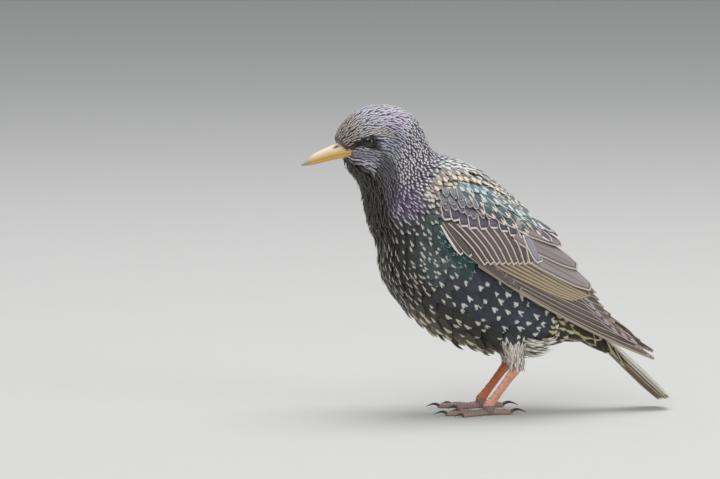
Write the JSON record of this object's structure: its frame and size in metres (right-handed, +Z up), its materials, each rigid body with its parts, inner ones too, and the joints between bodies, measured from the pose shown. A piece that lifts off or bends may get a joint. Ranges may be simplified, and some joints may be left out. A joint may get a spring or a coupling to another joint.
{
  "type": "starling",
  "caption": "Life-size standing songbird model with folded wings, short tail, pointed bill and head a little turned, resting on two four-toed feet.",
  "frame": {"origin": "centre of the bounding box at floor level, where the undersides of the feet rest", "axes": "+X towards the tail and away from the bill, +Y to the bird's right, +Z up"},
  "size_m": [0.179, 0.0574, 0.1484],
  "materials": {
    "crown_plumage": "matt grey-lavender head feathers with fine pale streaks",
    "throat_plumage": "dark neck feathers with purple gloss",
    "body_plumage": "blackish body feathers with blue and green gloss and white tips",
    "wing_feathers": "brown vanes with pale buff edges",
    "tail_feathers": "brown vanes with pale outer edges",
    "thigh_plumage": "loose greyish-white feathers",
    "bill_horn": "smooth yellow horn, paler towards the tip",
    "eye": "wet dark brown",
    "leg_skin": "scaled pinkish-brown skin",
    "claw_horn": "dark horn"
  },
  "bodies": {
    "root": {"head": "crown_plumage", "bill_upper": "bill_horn", "bill_lower": "bill_horn", "eye_left": "eye", "eye_right": "eye", "neck": "throat_plumage", "torso": "body_plumage", "tail": "tail_feathers", "wing_left": "wing_feathers", "wing_right": "wing_feathers", "thigh_left": "thigh_plumage", "thigh_right": "thigh_plumage", "tarsus_left": "leg_skin", "tarsus_right": "leg_skin", "foot_left": "leg_skin", "foot_right": "leg_skin", "toe_left_inner": "leg_skin", "toe_left_middle": "leg_skin", "toe_left_outer": "leg_skin", "toe_left_hind": "leg_skin", "toe_right_inner": "leg_skin", "toe_right_middle": "leg_skin", "toe_right_outer": "leg_skin", "toe_right_hind": "leg_skin", "claw_left_inner": "claw_horn", "claw_left_middle": "claw_horn", "claw_left_outer": "claw_horn", "claw_left_hind": "claw_horn", "claw_right_inner": "claw_horn", "claw_right_middle": "claw_horn", "claw_right_outer": "claw_horn", "claw_right_hind": "claw_horn"}
  },
  "joints": []
}
